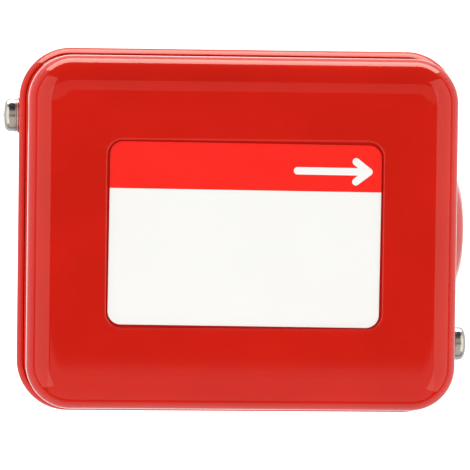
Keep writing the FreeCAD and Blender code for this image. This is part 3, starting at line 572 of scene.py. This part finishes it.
def small_screws():
    """Driver recesses in the heads of the terminal, earth, block, switch and paddle screws."""
    # How far each slot is turned, in radians.
    turns = {"terminal_screw_red": 0.5, "terminal_screw_yellow": 1.9, "terminal_screw_blue": 1.1}
    for node, turn_by in turns.items():
        driven(node, [slot_cutter(top_of(node), Z, width=1.0 * mm, depth=1.2 * mm, turn_by=turn_by)])
    # How far each cross recess reaches across, its width and its depth.
    earth_cross = (3.6 * mm, 0.9 * mm, 1.3 * mm)
    block_cross = (2.8 * mm, 0.7 * mm, 1.1 * mm)
    switch_cross = (2.8 * mm, 0.7 * mm, 1.0 * mm)
    driven("earth_screw", [cross_cutter(top_of("earth_screw"), Z, *earth_cross)])
    radius = 2.75 * mm          # of the heads of the block and switch screws
    low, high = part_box("block_screws")
    tops = [Vector((x, (low.y + high.y) / 2, high.z)) for x in (low.x + radius, high.x - radius)]
    driven("block_screws", [cross_cutter(top, Z, *block_cross) for top in tops])
    low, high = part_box("switch_screws")
    fronts = [Vector((low.x + radius, low.y, low.z + radius)),
              Vector((high.x - radius, low.y, high.z - radius))]
    driven("switch_screws", [cross_cutter(front, -Y, *switch_cross) for front in fronts])
    low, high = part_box("paddle_screw")
    front = Vector((low.x, 0, (low.z + high.z) / 2))
    driven("paddle_screw", [slot_cutter(front, -X, width=1.1 * mm, depth=1.3 * mm, turn_by=0.9)])


def cover_screws():
    """Bright pan heads: nearly flat faces, round shoulders and a cross recess."""
    low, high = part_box("cover_screws")
    head = 4.0                  # radius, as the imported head
    rise = 2.8
    shoulder = 1.5
    shoulder_turn = math.radians(78)
    shoulder_steps = 6
    crown = 0.3                 # how far the face bulges
    face_radius = 0.4 * head    # where the face lies face_drop lower
    face_drop = 0.05
    shank = 2.0
    length = 6.5
    recess_turn = 0.4           # in radians
    shoulder_low = rise - shoulder - crown
    profile = [(0, -length), (shank, -length), (shank, 0), (head, 0), (head, shoulder_low)]
    for step in range(1, shoulder_steps + 1):
        angle = step / shoulder_steps * shoulder_turn
        profile.append((head - shoulder + shoulder * math.cos(angle),
                        shoulder_low + shoulder * math.sin(angle)))
    profile.append((face_radius, rise - face_drop))
    profile.append((0, rise))
    places = ((low.x, high.y - head * mm, -X), (high.x, low.y + head * mm, X))
    screws = []
    for x, y, out in places:
        screw = turned("cover_screw", profile, steps=72)
        face = Vector((x, y, (low.z + high.z) / 2))
        seat = face - out * rise * mm
        laid(screw, Matrix.Translation(seat) @ facing(out) @ Matrix.Rotation(recess_turn, 4, "Z"))
        recess = cross_cutter(face, out, across=3.8 * mm, width=0.9 * mm, depth=1.3 * mm)
        screws.append(combine(screw, recess, "DIFFERENCE"))
    obj = join(screws[0], screws[1:])
    obj.name = "cover_screw_pair"
    smooth(obj, angle=30)
    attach(obj, "housing")
    finished(obj, "nickel", "cover_screws")


def rounded_ring(inner, outer, low, high, edge):
    """The section of a flat ring whose outer edges are rounded by edge, in millimetres."""
    middle = (low + high) / 2
    half = (high - low) / 2
    steps = 6
    section = [(inner, low), (outer - edge, low)]
    for step in range(1, steps):
        turn = step / steps * math.pi
        section.append((outer - edge + edge * math.sin(turn), middle - half * math.cos(turn)))
    return section + [(outer - edge, high), (inner, high), (inner, low)]


def cover_washers():
    """Under each cover screw's head a flat washer, and a slightly narrower spring washer on it."""
    low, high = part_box("cover_washers")
    bore = 2.15
    flat_radius = 4.2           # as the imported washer
    spring_radius = 4.0
    stack = 0.9                 # both washers together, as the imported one
    flat_top = 0.44
    spring_foot = 0.5
    edge = 0.2
    sections = (rounded_ring(bore, flat_radius, 0.0, flat_top, edge),
                rounded_ring(bore, spring_radius, spring_foot, stack, edge))
    seats = ((low.x + stack * mm, high.y - flat_radius * mm, -X),
             (high.x - stack * mm, low.y + flat_radius * mm, X))
    rings = []
    for x, y, out in seats:
        seat = Vector((x, y, (low.z + high.z) / 2))
        for section in sections:
            ring = turned("washer", section, steps=64)
            rings.append(laid(ring, Matrix.Translation(seat) @ facing(out)))
    obj = join(rings[0], rings[1:])
    obj.name = "cover_washer_pairs"
    smooth(obj, angle=40)
    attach(obj, "housing")
    finished(obj, "nickel", "cover_washers")


# ---- Tray hem ----
hem_proud = 0.05 * mm
hem_width = 1.4 * mm
hem_height = 1.4 * mm
hem_slope = 1.36 * mm
hem_slope_profile = 0.32    # between flat at 0.25 and round at 0.5
hem_slope_steps = 3
hem_stretch = 1.6           # how much taller than wide its slope is
hem_overlap = 0.1 * mm      # down over the rim
rim_corner = 12.0 * mm
corner_round = 24           # segments


def tray_hem():
    """The curled lip on the tray's rim, sloping up to the cover's skirt."""
    middle = Vector((cover_middle_x, 0, 0))
    half = Vector((cover_middle_x - tray_low.x, tray_high.y, 0)) + Vector((hem_proud, hem_proud, 0))
    up = Vector((0, 0, hem_height))
    obj = slab("tray_hem", middle - half, middle + half + up)
    round_edges(obj, rim_corner + hem_proud, corner_round, is_upright)
    inset = Vector((hem_width, hem_width, 0))
    hole = slab("hole", middle - half + inset - up, middle + half - inset + 2 * up)
    round_edges(hole, rim_corner + hem_proud - hem_width, corner_round, is_upright)
    combine(obj, hole, "DIFFERENCE")
    outline = half - inset / 2

    def is_outer_top(first, second):
        """True for an edge of the upper outer outline."""
        reach = (first + second) / 2 - middle
        corner = rim_corner - hem_width / 2
        past_x = max(abs(reach.x) - (outline.x - corner), 0)
        past_y = max(abs(reach.y) - (outline.y - corner), 0)
        is_top = min(first.z, second.z) > up.z - same_place
        return is_top and math.hypot(past_x, past_y) > corner

    round_edges(obj, hem_slope, hem_slope_steps, is_outer_top, hem_slope_profile)
    foot = Matrix.Translation((0, 0, tray_high.z - hem_overlap))
    laid(obj, foot @ Matrix.Diagonal((1, 1, hem_stretch, 1)))
    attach(smooth(obj, 40), "housing")
    finished(obj, "red_paint")


# ---- Brass body and its pipe thread ----
pipe_crest = 13.2
pipe_root = 12.1
pipe_pitch = 1.814          # 14 threads to the inch
pipe_inside = 12.0          # a radius between the bore and the thread's root
pipe_slack = 0.01           # how far over the shoulder a point may lie
pipe_lead = 1.0             # from the spigot's end to the thread
pipe_runout = 1.6           # from the thread to the shoulder


def brass_body():
    """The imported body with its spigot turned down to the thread's root, and the thread's ridge round it."""
    obj = copy_of("brass_body", "threaded_body")
    # The lowest ring of the hexagon, which is level with the shoulder, is among these points and moves in too.
    choose_points(obj, lambda point: point.z < pipe_slack * mm and point.xy.length > pipe_inside * mm)
    less = pipe_root / pipe_crest
    bpy.ops.transform.resize(value=(less, less, 1), center_override=(0, 0, 0))
    bpy.ops.object.mode_set(mode="OBJECT")
    low = spigot_low / mm + pipe_lead
    ridge = thread_ridge("thread", pipe_root, pipe_crest, pipe_pitch, low, -pipe_runout, steps=40)
    join(obj, [ridge])
    smooth(obj, angle=30)
    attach(obj, "housing")
    finished(obj, "brass", "brass_body")


# ---- Range screw's thread ----
def range_screw():
    """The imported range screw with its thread."""
    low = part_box("range_screw")[0]
    middle = middle_of("range_screw")
    obj = copy_of("range_screw", "range_screw_threaded")
    root = 2.12
    crest = 2.5
    pitch = 0.8
    rim = 2.4                   # a radius just inside the crest
    collar = 59.0               # level of the collar over the thread
    lead = 0.9                  # from the screw's end to the thread
    runout = 0.2                # from the thread to the collar
    choose_points(obj, lambda point: point.z < collar * mm and (point - middle).xy.length > rim * mm)
    bpy.ops.transform.resize(value=(root / crest, root / crest, 1), center_override=middle)
    bpy.ops.object.mode_set(mode="OBJECT")
    ridge = thread_ridge("thread", root, crest, pitch, low.z / mm + lead, collar - runout, steps=24)
    laid(ridge, Matrix.Translation((middle.x, middle.y, 0)))
    join(obj, [ridge])
    smooth(obj, angle=30)
    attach(obj, "adjuster")
    finished(obj, "brass", "range_screw")


# ---- Bellows ----
def bellows():
    """Round-folded bellows, soldered in the bore above and to its cap below."""
    outer = 6.5
    inner = 4.7
    wall = 0.25
    folds = 7
    steps = 12                  # along each fold
    fullness = 0.7              # below 1, so the folds are rounder than a sine
    bottom = bellows_low.z / mm
    flange = 0.6
    top = bellows_high.z / mm - flange
    middle = (outer + inner) / 2
    swing = (outer - inner) / 2 - wall / 2
    outside = []
    for step in range(folds * steps + 1):
        share = step / (folds * steps)
        wave = -math.cos(2 * math.pi * folds * share)
        soft = math.copysign(abs(wave) ** fullness, wave)
        outside.append((middle + swing * soft, bottom + (top - bottom) * share))
    rim = (bellows_high.x - bellows_low.x) / 2 / mm
    inside = [(radius - wall, height) for radius, height in reversed(outside)]
    profile = outside + [(rim, top), (rim, top + flange), (inner - wall, top + flange)] + inside
    profile.append(outside[0])
    obj = turned("bellows_folded", profile, steps=64)
    smooth(obj, angle=60)
    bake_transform(obj)
    finished(obj, "bronze", "bellows")


# ---- Range spring ----
def spring_half(name, start_share, end_share):
    """A stretch of the spring between two shares of its length, with closed ends."""
    wire = 1.4 * mm
    closed_pitch = 1.02 * wire  # of the end turns, which nearly touch
    radius = (spring_high.y - spring_low.y) / 2 - wire / 2
    centre = middle_of("range_spring")
    turns = 7.0
    closed = 1.0                # turns at each end
    per_turn = 28               # points
    bottom = spring_low.z + wire / 2
    top = spring_high.z - wire / 2
    length = top - bottom
    end_rise = closed * closed_pitch
    free = length - 2 * end_rise
    points = []
    count = int(turns * per_turn)
    for step in range(int(count * start_share), int(count * end_share) + 1):
        turn = step / per_turn
        if turn < closed:
            rise = turn * closed_pitch
        elif turn > turns - closed:
            rise = length - (turns - turn) * closed_pitch
        else:
            rise = end_rise + (turn - closed) / (turns - 2 * closed) * free
        angle = 2 * math.pi * turn
        x = centre.x + radius * math.cos(angle)
        y = centre.y + radius * math.sin(angle)
        points.append((x, y, bottom + rise))
    bpy.ops.curve.primitive_nurbs_path_add()
    path = named(name)
    path.data.splines.clear()
    line = path.data.splines.new("NURBS")
    line.points.add(len(points) - 1)
    for point, place in zip(line.points, points):
        point.co = (*place, 1)
    line.order_u = 3
    line.use_endpoint_u = True
    path.data.bevel_depth = wire / 2
    path.data.bevel_resolution = 5
    path.data.resolution_u = 2
    path.data.use_fill_caps = True
    pick(path)
    bpy.ops.object.convert(target="MESH")
    return smooth(clean(bpy.context.active_object), angle=60)


def range_spring():
    """The spring in two halves that share its middle."""
    lower = spring_half("range_spring_lower", 0.0, 0.5)
    upper = spring_half("range_spring_upper", 0.5, 1.0)
    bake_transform(lower)
    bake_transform(upper)
    finished(lower, "spring_steel", "range_spring")
    finished(upper, "spring_steel", "range_spring")


label()
tray_hem()
cover_screws()
cover_washers()
small_screws()
brass_body()
range_screw()
bellows()
range_spring()


# ---- Camera, floor and light ----
view_middle = Vector((11.5, -1.0, 56.0)) * mm
view_width = 110.6 * mm     # what the frame spans at that level
view_distance = 0.95
view_end = 20               # metres
sensor = 36                 # the camera's, in millimetres
view_lean_x = math.radians(-4.4)
view_lean_y = math.radians(2.3)
view_roll = math.radians(0.55)


def camera():
    """Nearly straight down on the cover."""
    bpy.ops.object.camera_add()
    obj = bpy.context.active_object
    back = Vector((math.tan(view_lean_x), math.tan(view_lean_y), 1)).normalized()
    right = Vector((math.cos(view_roll), math.sin(view_roll), 0))
    right = (right - back * right.dot(back)).normalized()
    up = back.cross(right)
    obj.matrix_world = aimed(view_middle + back * view_distance, right, up, back)
    obj.data.sensor_width = sensor
    obj.data.lens = sensor * view_distance / view_width
    obj.data.clip_end = view_end
    bpy.context.scene.camera = obj


floor_size = 20             # metres
floor_gap = 0.5 * mm        # under the paddle's end
backdrop_grows = (0.3, 1.5)     # metres from the middle, as in the next two
ring_starts = (0.03, 0.05)
ring_ends = (0.12, 0.18)
ring_glow = 1.3


def floor():
    """A plain pale floor under the paddle: it glows evenly for the camera, and as a ring in reflections."""
    bpy.ops.mesh.primitive_plane_add(size=floor_size, location=(0, 0, cad_box[0].z - floor_gap))
    obj = named("floor")
    settle(obj)
    material = bpy.data.materials.new("floor")
    material.use_nodes = True
    tree = material.node_tree
    shader = tree.nodes["Principled BSDF"]
    shader.inputs["Roughness"].default_value = 0.9
    shader.inputs["Emission Color"].default_value = (1, 1, 1, 1)
    place = tree.nodes.new("ShaderNodeTexCoord")
    away = tree.nodes.new("ShaderNodeVectorMath")
    away.operation = "LENGTH"
    tree.links.new(place.outputs["Object"], away.inputs[0])
    distance = away.outputs["Value"]
    inner = span(tree, distance, *ring_starts, 0.0, ring_glow)
    ring = span(tree, distance, *ring_ends, inner, 0.0)
    backdrop = span(tree, distance, *backdrop_grows, 0.5, 1.0)
    strength = by_ray(tree, seen=backdrop, glossy=ring, diffuse=0.0)
    tree.links.new(strength, shader.inputs["Emission Strength"])
    grey = by_ray(tree, seen=0.9, glossy=0.5, diffuse=0.9)
    tree.links.new(grey, shader.inputs["Base Color"])
    give_material(obj, material)


def surroundings():
    """A dim room that the camera sees as white."""
    world = bpy.data.worlds.new("surroundings")
    bpy.context.scene.world = world
    world.use_nodes = True
    tree = world.node_tree
    shader = tree.nodes["Background"]
    shader.inputs["Color"].default_value = (1, 1, 1, 1)
    strength = by_ray(tree, seen=1.0, glossy=0.03, diffuse=0.06)
    tree.links.new(strength, shader.inputs["Strength"])


def soft_box(name, azimuth, low, high, power, width=1.3, distance=0.65):
    """A soft lamp that covers the elevations low to high, in degrees, as seen from the cover.

    The power is for each square metre of the lamp.
    """
    middle = math.radians((low + high) / 2)
    turn = math.radians(azimuth)
    out = Vector((math.cos(turn) * math.cos(middle), math.sin(turn) * math.cos(middle), math.sin(middle)))
    bpy.ops.object.light_add(type="AREA")
    lamp = bpy.context.active_object
    lamp.name = name
    lamp.data.shape = "RECTANGLE"
    lamp.data.size = width
    lamp.data.size_y = 2 * distance * math.tan(math.radians((high - low) / 2))
    lamp.data.energy = power * lamp.data.size * lamp.data.size_y
    side = Vector((-math.sin(turn), math.cos(turn), 0))
    up = out.cross(side)
    lamp.matrix_world = aimed(view_middle + out * distance, side, up, out)
    lamp.visible_camera = False
    return lamp


def lights():
    """Soft boxes on the four sides, one low at the back, and fills that only matt surfaces show."""
    warm = (1.0, 0.9, 0.76)
    cool = (0.81, 0.90, 1.0)
    boxes = [soft_box("upstream_light", 180, -4, 48, power=3.4),
             soft_box("downstream_light", 0, -4, 50, power=3.4),
             soft_box("front_light", -90, 0, 84, power=1.7),
             soft_box("back_light", 90, 56, 86, power=1.2),
             soft_box("low_back_light", 90, -34, -8, power=15.0, width=0.5, distance=0.3)]
    for lamp in boxes:
        lamp.data.color = warm
    for azimuth in (0, 90, 180, 270):
        fill = soft_box("fill_light", azimuth, 15, 48, power=3.7, distance=0.7)
        fill.data.color = cool
        fill.visible_glossy = False


camera()
floor()
surroundings()
lights()
bpy.context.scene.view_settings.view_transform = "Standard"
